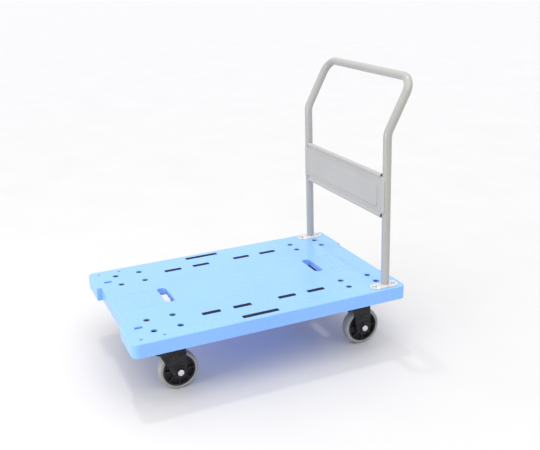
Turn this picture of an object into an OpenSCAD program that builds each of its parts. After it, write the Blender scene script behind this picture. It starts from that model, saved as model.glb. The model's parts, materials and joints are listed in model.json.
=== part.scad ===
// Flatbed platform truck: a moulded resin platform, a bent tube push handle with a sign panel,
// two swivel casters at the front and two rigid casters under the handle. Millimetres.
// The floor is z = 0, the handle stands at the +X end, and the operator's left hand is on -Y.

/* [Platform] */
// Length of the platform
deck_l = 910; // [800:5:1100]
// Width of the platform
deck_w = 600; // [540:5:750]
// Height of the load surface above the floor
deck_top = 225; // [205:1:270]
// Depth of the outer skirt
skirt_h = 44; // [36:1:60]
// Thickness of the load surface
skin_t = 5; // [4:0.5:8]
// Thickness of the skirt, the sleeves and the caster pads
wall_t = 4.5; // [3.5:0.5:7]
// Thickness of the ribs under the load surface
rib_t = 3; // [2:0.5:6]
// Depth of the ribs under the load surface
rib_h = 26; // [12:1:32]
// Radius of the corners in plan
corner_r = 22; // [20:1:40]
// Radius along the top edge
edge_r = 3; // [1:0.5:3.5]
// Depth of the notch across the front end
front_notch = 16; // [6:1:17]
// Depth of the notch across the handle end
rear_notch = 7; // [3:1:12]
// Half width of the notch across the front end
front_notch_y = 156; // [120:1:180]
// Half width of the notch across the handle end
rear_notch_y = 148; // [120:1:180]

/* [Hand slots and holes] */
// Length of a hand slot, across the platform
slot_l = 118; // [90:1:130]
// Width of a hand slot
slot_w = 30; // [26:1:40]
// Distance from the end of the platform to the middle of a hand slot
slot_inset = 190; // [180:1:210]
// Depth of the sleeve round a hand slot
slot_sleeve = 20; // [14:1:44]
// Length of the square window near each front corner
window_l = 25.5; // [18:0.5:30]
// Width of the square window near each front corner
window_w = 15; // [10:0.5:20]
// Distance from the front end to the middle of a window
window_inset = 47; // [40:0.5:52]

/* [Grip strips] */
// Length of a short grip strip
short_strip = 60; // [40:1:80]
// Length of a long grip strip
long_strip = 119; // [80:1:160]
// Width of a grip strip
strip_w = 19.5; // [10:0.5:24]
// Depth of the pocket that a strip sits in
strip_pocket = 4; // [3:0.5:6]
// Height of a strip above the load surface
strip_proud = 0.8; // [0:0.1:2]

/* [Handle] */
// Outer diameter of the handle tube
tube_od = 27.2; // [22:0.1:34]
// Wall of the handle tube
tube_t = 2; // [1.2:0.1:4]
// Distance from the end of the platform to a handle post
post_inset = 60.5; // [55:0.5:66]
// Distance from the side of the platform to a handle post
post_side = 33.2; // [31:0.1:50]
// Height of the bend in the posts above the load surface
bend_up = 500; // [420:5:600]
// Height of the middle of the hand bar above the load surface
bar_up = 662; // [600:1:800]
// Angle at which the top of the handle leans back
lean = 28; // [10:1:35]
// Radius of the bend in the posts
bend_r = 60; // [45:1:90]
// Radius of the two corners of the hand bar
bar_r = 50; // [40:1:80]
// Length of a flange
flange_l = 97; // [92:1:110]
// Width of a flange
flange_w = 42; // [36:1:48]
// Thickness of a flange
flange_t = 3.2; // [2.5:0.1:6]
// Distance between the two bolts of a flange
flange_bolts = 70.3; // [60:0.1:74]
// Distance from the end of the platform to the middle of a flange
flange_inset = 65; // [60:0.5:70]
// Distance from the front end to the middle of a pair of spare holes
spare_inset = 69; // [60:0.5:80]
// Distance from the side of the platform to the spare holes
spare_side = 29; // [26:0.5:40]

/* [Sign panel] */
// Height of the lower edge above the load surface
panel_up = 228; // [150:1:300]
// Height of the panel
panel_h = 145; // [120:1:180]
// Thickness of the panel
panel_t = 1.5; // [1:0.1:3]
// Height of the raised field
panel_relief = 3; // [1:0.5:5]
// Distance of the panel's sheet ahead of the middle of the posts
panel_ahead = 10; // [8:0.5:12]
// Diameter of the tubes that the panel's upper and lower edges are rolled into
bead_d = 14; // [10:0.5:16]
// Angle that a tab goes round the front of a post, towards the outer side
tab_past = 30; // [10:1:60]

/* [Casters] */
// Diameter of a wheel
wheel_d = 125; // [100:1:150]
// Height of a caster's plate above the top of its wheel
caster_rise = 35; // [32:0.5:40]
// Width of a tyre
wheel_w = 32; // [28:1:36]
// Thickness of a tyre
tyre_t = 11; // [8:0.5:14]
// Diameter of an axle bolt
axle_d = 12; // [10:1:14]
// Distance of a caster from the side of the platform
caster_side = 106.5; // [104:0.5:130]
// Distance of a swivel caster's kingpin from the front end
swivel_inset = 124; // [120:1:150]
// Distance of a rigid caster's plate from the handle end
rigid_inset = 117.7; // [110:0.1:140]
// Distance of a swivel caster's axle behind its kingpin
trail = 33; // [25:1:45]
// Offset of a rigid caster's axle from the middle of its plate
rigid_offset = 8; // [0:0.5:12]
// Thickness of a caster's top plate
plate_t = 4; // [3:0.5:6]
// Thickness of a fork leg
leg_t = 4; // [3:0.5:6]
// Diameter of the kingpin
kingpin_d = 12; // [10:0.5:16]
// Hole spacing of a swivel plate along the truck
swivel_bolts_x = 81.5; // [78:0.5:90]
// Hole spacing of a swivel plate across the truck
swivel_bolts_y = 80; // [78:0.5:90]
// Hole spacing of a rigid plate along the truck
rigid_bolts_x = 101.5; // [90:0.5:105]
// Hole spacing of a rigid plate across the truck
rigid_bolts_y = 56.3; // [54:0.1:64]

/* [Fasteners and fits] */
// Thread of the bolts through the platform
bolt_d = 8; // [6:1:10]
// Depth of a caster bolt's recess in the load surface
bolt_sink = 9; // [7:0.5:12]
// Clearance on the radius of a turning fit
run_gap = 0.05; // [0.02:0.01:0.1]
// Clearance between pieces that only pass each other
pass_gap = 0.3; // [0.1:0.1:1]
// Amount by which the sign panel's tabs grip the posts
crimp = 0.05; // [0:0.01:0.1]

/* [Hidden] */
$fn = 48;

resin_blue = [0.55, 0.78, 1.0];
grip_black = [0.1, 0.11, 0.12];
handle_grey = [0.72, 0.72, 0.69];
panel_grey = [0.78, 0.78, 0.78];
fork_black = [0.12, 0.12, 0.13];
tyre_grey = [0.62, 0.62, 0.6];
core_black = [0.08, 0.08, 0.08];
zinc = [0.85, 0.86, 0.87];

// Platform
half_l = deck_l / 2;
half_w = deck_w / 2;
skirt_z = deck_top - skirt_h;
skin_z = deck_top - skin_t;
slot_x = half_l - slot_inset;
slot_r = slot_w / 2 - 2;
groove = 0.5;
groove_w = 2;
groove_l = 60;
groove_wide = slot_l + 4;
groove_gap = 34;
window_x = half_l - window_inset;
window_r = 1.5;
boss_r = 13;

// Grip strips: four short ones a side, in two pairs, and one long one near the edge
short_x = [-179, -76.5, 76.5, 179];
long_x = -48;
long_side = 29;
strip_r = 3;
strip_step = 6;
strip_base = 2;

// Casters
wheel_r = wheel_d / 2;
caster_h = wheel_d + caster_rise;
plate_z = caster_h - plate_t;
caster_y = half_w - caster_side;
swivel_x = swivel_inset - half_l;
rigid_x = half_l - rigid_inset;
plate_margin = 13;
plate_r = 8;
hub_half = wheel_w / 2 + 2;
leg_in = hub_half + 1;
leg_out = leg_in + leg_t;
boss_t = 2;
washer_t = 1.6;
crown_z = wheel_d + 6;
crown_t = 5;
crown_top = crown_z + crown_t;
crown_r = 41;
cup_t = 3.5;
cup_h = 6;
swivel_leg_r = 23;
swivel_leg_back = 27;
rigid_leg_r = 25;
rigid_leg_back = 42;
rigid_leg_front = 26;
axle_boss_r = 17.5;
ball_d = 8;
ball_ring = 27;
ball_gap = 0.1;
ball_count = 14;

// Wheel bearings, two to a wheel
bearing_w = 10;
sleeve_r = axle_d / 2 + 2;
inner_ring_r = sleeve_r + 1.7;
outer_ring_in = inner_ring_r + 4.6;
outer_ring_r = outer_ring_in + 2.6;
bearing_ball = 4.5;
bearing_balls = 9;

// Bolts, nuts and washers
bolt_r = bolt_d / 2;
hole_r = bolt_r + 0.5;
head_h = bolt_d * 0.66;
bolt_af = bolt_d * 1.625;
nut_h = bolt_d * 0.8;
washer_r = bolt_d;
sink_washer_r = bolt_d + 1.75;
sink_r = sink_washer_r + 0.75;
thread_end = 2.5;
axle_af = axle_d * 1.55;
axle_head = axle_d * 0.62;
axle_nut_h = axle_d * 0.85;

// Handle
tube_r = tube_od / 2;
post_x = half_l - post_inset;
post_y = half_w - post_side;
flange_x = half_l - flange_inset;
spare_x = spare_inset - half_l;
spare_y = half_w - spare_side;
seat = 1;
seat_margin = 1.5;
flange_z = deck_top - seat;
flange_top = flange_z + flange_t;
bend_z = deck_top + bend_up;
lean_len = (bar_up - bend_up) / cos(lean);
bend_len = bend_r * tan(lean / 2);
bar_x = post_x + (bar_up - bend_up) * tan(lean);
bend_steps = 4;
corner_steps = 8;
tube_sides = 24;
weld = 3.5;
hand_len = flange_top - (skirt_z - washer_t - nut_h - thread_end - 4);

// Sign panel
panel_z = deck_top + panel_up;
panel_x = post_x - panel_ahead;
bead_r = bead_d / 2;
bead_x = post_x - 8.4;
bead_end = post_y - tube_r - 0.9;
tab_gap = 3;
tab_z = panel_z + bead_d + tab_gap;
tab_h = panel_h - 2 * bead_d - 3 * tab_gap;
tab_mid_r = tube_r - crimp + panel_t / 2;
tab_from = acos((panel_ahead - panel_t / 2) / tab_mid_r);
sheet_end = post_y - tab_mid_r * sin(tab_from);
field_y = post_y - 39;
field_low = 30;
field_high = 34;
field_r = 10;

// The truck is drawn about the middle of its platform, then moved so that its own box is centred
truck_x = (half_l - bar_x - tube_r) / 2;

// Where a tangent from point p touches the circle of radius r about c; side is 1 or -1
function toward(p, c) = atan2(p[1] - c[1], p[0] - c[0]);
function touch_angle(p, c, r, side) = toward(p, c) + side * acos(r / norm(p - c));
function touch(p, c, r, side) =
  c + r * [cos(touch_angle(p, c, r, side)), sin(touch_angle(p, c, r, side))];

// Placement
module on_truck() {
  translate([truck_x, 0, 0]) children();
}

module both_sides() {
  children();
  mirror([0, 1, 0]) children();
}

module at_front_left() {
  translate([truck_x + swivel_x, -caster_y, 0]) children();
}

module at_front_right() {
  translate([truck_x + swivel_x, caster_y, 0]) mirror([0, 1, 0]) children();
}

module at_rear_left() {
  translate([truck_x + rigid_x, -caster_y, 0]) children();
}

module at_rear_right() {
  translate([truck_x + rigid_x, caster_y, 0]) mirror([0, 1, 0]) children();
}

module at_front_left_axle() {
  at_front_left() translate([trail, 0, 0]) children();
}

module at_front_right_axle() {
  at_front_right() translate([trail, 0, 0]) children();
}

module at_rear_left_axle() {
  at_rear_left() translate([rigid_offset, 0, 0]) children();
}

module at_rear_right_axle() {
  at_rear_right() translate([rigid_offset, 0, 0]) children();
}

module at_corners(spacing_x, spacing_y) {
  for (sx = [-1, 1], sy = [-1, 1])
    translate([sx * spacing_x / 2, sy * spacing_y / 2, 0]) children();
}

module at_caster_bolts() {
  for (sy = [-1, 1]) {
    translate([swivel_x, sy * caster_y, 0]) at_corners(swivel_bolts_x, swivel_bolts_y) children();
    translate([rigid_x, sy * caster_y, 0]) at_corners(rigid_bolts_x, rigid_bolts_y) children();
  }
}

module at_handle_bolts() {
  translate([flange_x, 0, 0]) at_corners(flange_bolts, 2 * post_y) children();
}

module at_spare_bolts() {
  translate([spare_x, 0, 0]) at_corners(flange_bolts, 2 * spare_y) children();
}

// Plain shapes
module rounded(l, w, r) {
  square([l - 2 * r, w], center = true);
  square([l, w - 2 * r], center = true);
  at_corners(l - 2 * r, w - 2 * r) circle(r);
}

module ring(outer, inner, h) {
  difference() {
    cylinder(r = outer, h = h);
    translate([0, 0, -1]) cylinder(r = inner, h = h + 2);
  }
}

// A plate that stands in the XZ plane, from y0 to y0 + t
module upright(y0, t) {
  translate([0, y0 + t, 0]) rotate([90, 0, 0]) linear_extrude(t) children();
}

// Children drawn along +Z lie along +Y on the wheel's axis, starting at y0
module on_axle(y0) {
  translate([0, y0, wheel_r]) rotate([-90, 0, 0]) children();
}

module hex(af, h) {
  cylinder(r = af / 2 / cos(30), h = h, $fn = 6);
}

// Bolt with the underside of its head at z = 0 and its shank below
module hex_bolt(d, af, h, len) {
  hex(af, h);
  translate([0, 0, -len]) cylinder(d = d, h = len);
}

module hex_nut(d, af, h) {
  difference() {
    hex(af, h);
    translate([0, 0, -1]) cylinder(d = d, h = h + 2);
  }
}

// Platform. The skirt's section has u = 0 on the inner line and u = corner_r on the outer face.
module skirt_section() {
  translate([0, skirt_h - skin_t]) square([corner_r - edge_r, skin_t]);
  translate([corner_r - wall_t, 0]) square([wall_t, skirt_h - edge_r]);
  translate([corner_r - edge_r, skirt_h - edge_r]) circle(edge_r);
}

module block_section(depth) {
  translate([corner_r - depth, 0]) square([depth, skirt_h - edge_r]);
  translate([corner_r - depth, 0]) square([depth - edge_r, skirt_h]);
  translate([corner_r - edge_r, skirt_h - edge_r]) circle(edge_r);
}

// A run of section along +Y from y0 to y1, whose outer face looks along +X at x
module end_run(x, y0, y1) {
  translate([x - corner_r, y1, skirt_z]) rotate([90, 0, 0]) linear_extrude(y1 - y0) children();
}

module deck_side() {
  rotate([0, 0, 90]) end_run(half_w, corner_r - half_l, half_l - corner_r) skirt_section();
}

// One end of the platform, drawn at +X: two corner blocks and the set-back wall between them
module deck_end(notch, notch_y) {
  end_run(half_l - notch, -notch_y - wall_t, notch_y + wall_t) skirt_section();
  both_sides() {
    end_run(half_l, notch_y, half_w - corner_r) skirt_section();
    end_run(half_l, notch_y, notch_y + wall_t) block_section(notch + wall_t);
  }
}

module deck_corner() {
  translate([half_l - corner_r, half_w - corner_r, skirt_z]) rotate_extrude(angle = 90) skirt_section();
}

module deck_ribs() {
  rib_z = skin_z - rib_h;
  for (i = [-3:3])
    translate([front_notch + wall_t / 2 - half_l, i * deck_w / 8 - rib_t / 2, rib_z])
      cube([deck_l - front_notch - rear_notch - wall_t, rib_t, rib_h]);
  for (i = [-4:4])
    translate([i * deck_l / 10 - rib_t / 2, wall_t / 2 - half_w, rib_z])
      cube([rib_t, deck_w - wall_t, rib_h]);
}

// Open box of walls that a caster plate stands against, with a column for each bolt
module caster_pad(bolts_x, bolts_y) {
  pad_x = bolts_x + 2 * plate_margin + 4;
  pad_y = bolts_y + 2 * plate_margin + 4;
  translate([0, 0, caster_h]) linear_extrude(skin_z - caster_h) difference() {
    rounded(pad_x, pad_y, plate_r);
    rounded(pad_x - 2 * wall_t, pad_y - 2 * wall_t, plate_r - wall_t / 2);
  }
  at_corners(bolts_x, bolts_y)
    translate([0, 0, caster_h]) cylinder(r = boss_r, h = skin_z - caster_h);
}

module strip_backing(l) {
  backing = strip_pocket + 1;
  translate([-l / 2 - wall_t, -strip_w / 2 - wall_t, deck_top - skin_t - backing + 1])
    cube([l + 2 * wall_t, strip_w + 2 * wall_t, backing]);
}

module at_short_strips() {
  for (x = short_x, sy = [-1, 1]) translate([x, sy * caster_y, 0]) children();
}

module at_long_strips() {
  for (sy = [-1, 1]) translate([long_x, sy * (half_w - long_side), 0]) children();
}

module at_hand_slots() {
  for (sx = [-1, 1]) translate([sx * slot_x, 0, 0]) children();
}

module at_windows() {
  for (sy = [-1, 1]) translate([-window_x, sy * caster_y, 0]) children();
}

module deck_body() {
  translate([corner_r - half_l, corner_r - half_w, skin_z])
    cube([deck_l - 2 * corner_r, deck_w - 2 * corner_r, skin_t]);
  both_sides() {
    deck_side();
    deck_corner();
    mirror([1, 0, 0]) deck_corner();
  }
  deck_end(rear_notch, rear_notch_y);
  mirror([1, 0, 0]) deck_end(front_notch, front_notch_y);
  deck_ribs();
  for (sy = [-1, 1]) {
    translate([swivel_x, sy * caster_y, 0]) caster_pad(swivel_bolts_x, swivel_bolts_y);
    translate([rigid_x, sy * caster_y, 0]) caster_pad(rigid_bolts_x, rigid_bolts_y);
  }
  at_handle_bolts() translate([0, 0, skirt_z]) cylinder(r = boss_r, h = skirt_h - seat);
  at_spare_bolts() translate([0, 0, skirt_z]) cylinder(r = boss_r, h = skirt_h);
  at_hand_slots() translate([0, 0, deck_top - slot_sleeve]) linear_extrude(slot_sleeve)
    rounded(slot_w + 2 * wall_t, slot_l + 2 * wall_t, slot_r + wall_t);
  at_windows() translate([0, 0, deck_top - rib_h]) linear_extrude(rib_h)
    rounded(window_l + 2 * wall_t, window_w + 2 * wall_t, wall_t);
  at_short_strips() strip_backing(short_strip);
  at_long_strips() strip_backing(long_strip);
}

// A shallow moulded line round the flat between a hand slot and the end of the platform
module deck_groove() {
  translate([slot_x + groove_gap + groove_l / 2 + slot_w / 2, 0, deck_top - groove]) linear_extrude(1)
    difference() {
      square([groove_l, groove_wide], center = true);
      square([groove_l - 2 * groove_w, groove_wide - 2 * groove_w], center = true);
    }
}

module flange_outline(margin) {
  square([flange_l - flange_w, flange_w + 2 * margin], center = true);
  for (sx = [-1, 1])
    translate([sx * (flange_l - flange_w) / 2, 0]) circle(flange_w / 2 + margin);
}

module deck_cuts() {
  at_caster_bolts() {
    translate([0, 0, caster_h - 1]) cylinder(r = hole_r, h = deck_top);
    translate([0, 0, deck_top - bolt_sink]) cylinder(r = sink_r, h = bolt_sink + 1);
  }
  at_handle_bolts() translate([0, 0, skirt_z - 1]) cylinder(r = hole_r, h = deck_top);
  at_spare_bolts() translate([0, 0, skirt_z - 1]) cylinder(r = hole_r, h = deck_top);
  for (sy = [-1, 1])
    translate([flange_x, sy * post_y, flange_z]) linear_extrude(seat + 1) flange_outline(seat_margin);
  at_hand_slots() translate([0, 0, skirt_z]) linear_extrude(skirt_h + 1)
    rounded(slot_w, slot_l, slot_r);
  at_windows() translate([0, 0, deck_top - rib_h - 1]) linear_extrude(rib_h + 2)
    rounded(window_l, window_w, window_r);
  at_short_strips() translate([0, 0, deck_top - strip_pocket]) linear_extrude(strip_pocket + 1)
    rounded(short_strip, strip_w, strip_r);
  at_long_strips() translate([0, 0, deck_top - strip_pocket]) linear_extrude(strip_pocket + 1)
    rounded(long_strip, strip_w, strip_r);
  deck_groove();
  mirror([1, 0, 0]) deck_groove();
}

module deck() {
  color(resin_blue) on_truck() difference() {
    deck_body();
    deck_cuts();
  }
}

// A rubber strip that fills its pocket, with cross ribs above its base
module grip_strip(l) {
  rib_count = floor((l - 2 * strip_r) / strip_step);
  rib_l = strip_step / 2;
  rib_w = strip_w - 3;
  strip_h = strip_pocket + strip_proud;
  translate([0, 0, deck_top - strip_pocket]) linear_extrude(strip_base)
    rounded(l - 2 * pass_gap, strip_w - 2 * pass_gap, strip_r);
  for (i = [0:rib_count])
    translate([(i - rib_count / 2) * strip_step - rib_l / 2, -rib_w / 2, deck_top - strip_pocket])
      cube([rib_l, rib_w, strip_h]);
}

module short_grip_strips() {
  color(grip_black) on_truck() at_short_strips() grip_strip(short_strip);
}

module long_grip_strips() {
  color(grip_black) on_truck() at_long_strips() grip_strip(long_strip);
}

// Handle. Each station on the tube's centre line is [point, direction, inward direction].
function lean_dir() = [sin(lean), 0, cos(lean)];
function mirrored(v) = [v[0], -v[1], v[2]];
function post_station(z) = [[post_x, -post_y, z], [0, 0, 1], [0, 1, 0]];
function bend_station(a) = [
  [post_x + bend_r * (1 - cos(a)), -post_y, bend_z - bend_len + bend_r * sin(a)],
  [sin(a), 0, cos(a)],
  [0, 1, 0]
];
function corner_station(a) =
  let (up = lean_dir(), along = lean_len - bar_r * (1 - sin(a)), y = bar_r * (1 - cos(a)) - post_y)
  [
    [post_x, y, bend_z] + along * up,
    cos(a) * up + [0, sin(a), 0],
    [0, cos(a), 0] - sin(a) * up
  ];
function left_stations() = concat(
  [post_station(flange_top)],
  [for (i = [0:bend_steps]) bend_station(lean * i / bend_steps)],
  [for (i = [0:corner_steps]) corner_station(90 * i / corner_steps)]
);
function mirrored_station(s) = [mirrored(s[0]), -mirrored(s[1]), mirrored(s[2])];
function handle_stations() =
  let (left = left_stations(), n = len(left))
  concat(left, [for (i = [n - 1:-1:0]) mirrored_station(left[i])]);
function tube_ring(s, r) = [
  for (i = [0:tube_sides - 1])
    let (a = i * 360 / tube_sides)
    s[0] + r * (cos(a) * s[2] + sin(a) * cross(s[1], s[2]))
];
function ring_face(a, b, i) = [a + i, a + (i + 1) % tube_sides, b + (i + 1) % tube_sides, b + i];

module handle_tube() {
  stations = handle_stations();
  n = len(stations);
  inner = n * tube_sides;
  outside = [for (s = stations) each tube_ring(s, tube_r)];
  inside = [for (s = stations) each tube_ring(s, tube_r - tube_t)];
  walls = [
    for (k = [0:n - 2], i = [0:tube_sides - 1])
      each [
        ring_face((k + 1) * tube_sides, k * tube_sides, i),
        ring_face(inner + k * tube_sides, inner + (k + 1) * tube_sides, i)
      ]
  ];
  ends = [
    for (i = [0:tube_sides - 1])
      each [ring_face(0, inner, i), ring_face(2 * inner - tube_sides, inner - tube_sides, i)]
  ];
  color(handle_grey) on_truck() polyhedron(concat(outside, inside), concat(walls, ends));
}

// A flange, with the weld round the foot of its post
module handle_flange(side) {
  color(handle_grey) on_truck() {
    translate([flange_x, side * post_y, flange_z]) difference() {
      linear_extrude(flange_t) flange_outline(0);
      for (sx = [-1, 1]) translate([sx * flange_bolts / 2, 0, -1]) cylinder(r = hole_r, h = flange_t + 2);
    }
    translate([post_x, side * post_y, flange_top]) difference() {
      cylinder(r1 = tube_r + weld, r2 = tube_r + 0.5, h = weld);
      translate([0, 0, -1]) cylinder(r = tube_r, h = weld + 2);
    }
  }
}

module handle_bolts() {
  color(zinc) on_truck() at_handle_bolts() translate([0, 0, flange_top + washer_t])
    hex_bolt(bolt_d, bolt_af, head_h, hand_len + washer_t);
}

module handle_washers() {
  color(zinc) on_truck() at_handle_bolts() {
    translate([0, 0, flange_top]) ring(washer_r, hole_r, washer_t);
    translate([0, 0, skirt_z - washer_t]) ring(washer_r, hole_r, washer_t);
  }
}

module handle_nuts() {
  color(zinc) on_truck() at_handle_bolts() translate([0, 0, skirt_z - washer_t - nut_h])
    hex_nut(bolt_d, bolt_af, nut_h);
}

// Sign panel: a sheet with a raised field, its upper and lower edges rolled into open tubes, and a
// tab at each end that is bent round the front of a post
module panel_field(grow, x, t) {
  field_h = panel_h - field_low - field_high;
  translate([x, 0, panel_z + field_low + field_h / 2]) rotate([90, 0, 90]) linear_extrude(t)
    rounded(2 * (field_y + grow), field_h + 2 * grow, field_r + grow);
}

module panel_tab() {
  translate([post_x, post_y, tab_z]) rotate([0, 0, 180 - tab_past])
    rotate_extrude(angle = tab_past + tab_from) translate([tube_r - crimp, 0]) square([panel_t, tab_h]);
}

module at_beads() {
  for (z = [panel_z + bead_r, panel_z + panel_h - bead_r])
    translate([bead_x, bead_end, z]) rotate([90, 0, 0]) children();
}

module sign_panel() {
  color(panel_grey) on_truck() difference() {
    union() {
      translate([panel_x, -sheet_end, tab_z]) cube([panel_t, 2 * sheet_end, tab_h]);
      translate([panel_x, -bead_end, panel_z + bead_r])
        cube([panel_t, 2 * bead_end, panel_h - bead_d]);
      both_sides() panel_tab();
      at_beads() cylinder(r = bead_r, h = 2 * bead_end);
      panel_field(0, panel_x - panel_relief, panel_relief + panel_t);
    }
    at_beads() translate([0, 0, -1]) cylinder(r = bead_r - panel_t, h = 2 * bead_end + 2);
    panel_field(-panel_t, panel_x - panel_relief + panel_t, panel_relief + panel_t);
  }
}

// Caster bolts through the platform, sunk below the load surface
module caster_bolts() {
  color(fork_black) on_truck() at_caster_bolts() translate([0, 0, deck_top - bolt_sink + washer_t])
    hex_bolt(bolt_d, bolt_af, head_h, deck_top - bolt_sink + washer_t - plate_z + nut_h + thread_end);
}

module caster_washers() {
  color(fork_black) on_truck() at_caster_bolts() translate([0, 0, deck_top - bolt_sink])
    ring(sink_washer_r, hole_r, washer_t);
}

module caster_nuts() {
  color(zinc) on_truck() at_caster_bolts() translate([0, 0, plate_z - nut_h])
    hex_nut(bolt_d, bolt_af, nut_h);
}

// Swivel caster, drawn about its kingpin
module plate(bolts_x, bolts_y) {
  translate([0, 0, plate_z]) linear_extrude(plate_t) difference() {
    rounded(bolts_x + 2 * plate_margin, bolts_y + 2 * plate_margin, plate_r);
    at_corners(bolts_x, bolts_y) circle(hole_r);
  }
}

module swivel_top_plate() {
  race_z = crown_top + ball_d + 2 * ball_gap;
  color(zinc) difference() {
    union() {
      plate(swivel_bolts_x, swivel_bolts_y);
      translate([0, 0, race_z]) cylinder(r = ball_ring + 6, h = plate_z - race_z);
    }
    translate([0, 0, race_z - 1]) cylinder(d = kingpin_d, h = caster_h);
  }
}

module swivel_balls() {
  color(zinc) for (i = [0:ball_count - 1])
    rotate([0, 0, i * 360 / ball_count])
      translate([ball_ring, 0, crown_top + ball_gap + ball_d / 2]) sphere(d = ball_d);
}

module kingpin() {
  head = 6;
  head_z = crown_z - pass_gap - head;
  rivet = 3;
  color(zinc) {
    translate([0, 0, head_z]) cylinder(r = kingpin_d / 2 + 4, h = head);
    translate([0, 0, head_z]) cylinder(d = kingpin_d, h = caster_h + rivet - head_z);
    translate([0, 0, caster_h]) cylinder(r = kingpin_d / 2 + 3, h = rivet);
  }
}

module swivel_leg_outline() {
  shoulder = [-swivel_leg_back, crown_z];
  axle = [trail, wheel_r];
  polygon([
    [-swivel_leg_back, crown_top],
    [trail + swivel_leg_r, crown_top],
    [trail + swivel_leg_r, wheel_r],
    axle,
    touch(shoulder, axle, swivel_leg_r, 1),
    shoulder
  ]);
  translate(axle) circle(swivel_leg_r);
}

// The upper half of a leg stands out, down to a curved edge above the axle
module swivel_leg_flare() {
  flare_r = 60;
  flare_up = 29;
  difference() {
    swivel_leg_outline();
    translate([trail / 2, wheel_r + flare_up - flare_r]) circle(flare_r);
    translate([trail / 2 - flare_r, 0]) square([2 * flare_r, wheel_r]);
  }
}

module swivel_leg() {
  upright(-leg_out, leg_t) swivel_leg_outline();
  upright(-leg_out - boss_t, boss_t) swivel_leg_flare();
  translate([trail, 0, 0]) on_axle(-leg_out - boss_t) cylinder(r = axle_boss_r, h = boss_t);
}

module axle_bore() {
  on_axle(-leg_out - boss_t - 1) cylinder(r = axle_d / 2, h = 2 * (leg_out + boss_t + 1));
}

module swivel_fork() {
  color(fork_black) difference() {
    union() {
      translate([0, 0, crown_z]) cylinder(r = crown_r, h = crown_t);
      translate([-swivel_leg_back, -leg_out, crown_z])
        cube([swivel_leg_back + trail + swivel_leg_r, 2 * leg_out, crown_t]);
      translate([0, 0, crown_top]) ring(crown_r, crown_r - cup_t, cup_h);
      both_sides() swivel_leg();
    }
    translate([0, 0, crown_z - 1]) cylinder(r = kingpin_d / 2 + run_gap, h = crown_t + 2);
    translate([trail, 0, 0]) axle_bore();
  }
}

// Rigid caster, drawn about the middle of its plate
module rigid_leg_outline() {
  axle = [rigid_offset, wheel_r];
  back = [rigid_offset - rigid_leg_back, plate_z];
  front = [rigid_offset + rigid_leg_front, plate_z];
  polygon([
    back,
    front,
    touch(front, axle, rigid_leg_r, -1),
    axle,
    touch(back, axle, rigid_leg_r, 1)
  ]);
  translate(axle) circle(rigid_leg_r);
}

module rigid_leg() {
  upright(-leg_out, leg_t) rigid_leg_outline();
  translate([rigid_offset, 0, 0]) on_axle(-leg_out - boss_t) cylinder(r = axle_boss_r, h = boss_t);
}

module rigid_fork() {
  saddle = 6;
  color(fork_black) difference() {
    union() {
      plate(rigid_bolts_x, rigid_bolts_y);
      translate([rigid_offset - rigid_leg_back, -leg_out, plate_z - saddle])
        cube([rigid_leg_back + rigid_leg_front, 2 * leg_out, saddle]);
      both_sides() rigid_leg();
    }
    translate([rigid_offset, 0, 0]) axle_bore();
  }
}

// Wheel and axle, drawn with the axle over x = 0; the bolt's head is on the -Y side
module axle_bolt() {
  seat_y = leg_out + boss_t + washer_t;
  color(zinc) {
    on_axle(-seat_y - axle_head) hex(axle_af, axle_head);
    on_axle(-seat_y) cylinder(d = axle_d, h = 2 * seat_y + axle_nut_h + thread_end);
  }
}

module axle_washers() {
  color(fork_black) {
    on_axle(-leg_out - boss_t - washer_t) ring(axle_d, axle_d / 2, washer_t);
    on_axle(leg_out + boss_t) ring(axle_d, axle_d / 2, washer_t);
  }
}

module axle_nut() {
  color(zinc) on_axle(leg_out + boss_t + washer_t) hex_nut(axle_d, axle_af, axle_nut_h);
}

// The sleeve is clamped between the legs and carries the bearings' inner rings
module axle_sleeve() {
  color(zinc) difference() {
    union() {
      on_axle(-leg_in) cylinder(r = sleeve_r, h = 2 * leg_in);
      both_sides() on_axle(-hub_half) cylinder(r = inner_ring_r, h = bearing_w);
    }
    on_axle(-leg_in - 1) cylinder(r = axle_d / 2, h = 2 * leg_in + 2);
  }
}

module bearing() {
  shield = 0.8;
  on_axle(-hub_half) {
    ring(outer_ring_r, outer_ring_in, bearing_w);
    for (y = [0, bearing_w - shield])
      translate([0, 0, y]) ring(outer_ring_in, inner_ring_r + run_gap, shield);
    for (i = [0:bearing_balls - 1]) rotate([0, 0, i * 360 / bearing_balls])
      translate([(inner_ring_r + outer_ring_in) / 2, 0, bearing_w / 2]) sphere(d = bearing_ball);
  }
}

module bearings() {
  color(zinc) both_sides() bearing();
}

module wheel_core() {
  rim_r = wheel_r - tyre_t;
  rim_t = 5;
  hub_r = outer_ring_r + 5;
  web_t = 8;
  spokes = 8;
  color(core_black) difference() {
    union() {
      on_axle(-wheel_w / 2 + 1) ring(rim_r, rim_r - rim_t, wheel_w - 2);
      on_axle(-hub_half) cylinder(r = hub_r, h = 2 * hub_half);
      on_axle(-web_t / 2) cylinder(r = rim_r - rim_t / 2, h = web_t);
      on_axle(4 - wheel_w / 2) for (i = [0:spokes - 1]) rotate([0, 0, i * 360 / spokes])
        translate([hub_r - 1, -2, 0]) cube([rim_r - rim_t / 2 - hub_r, 4, wheel_w - 8]);
    }
    on_axle(-hub_half - 1) cylinder(r = sleeve_r + 2, h = 2 * hub_half + 2);
    both_sides() on_axle(-hub_half - 1) cylinder(r = outer_ring_r, h = bearing_w + 1);
  }
}

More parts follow.
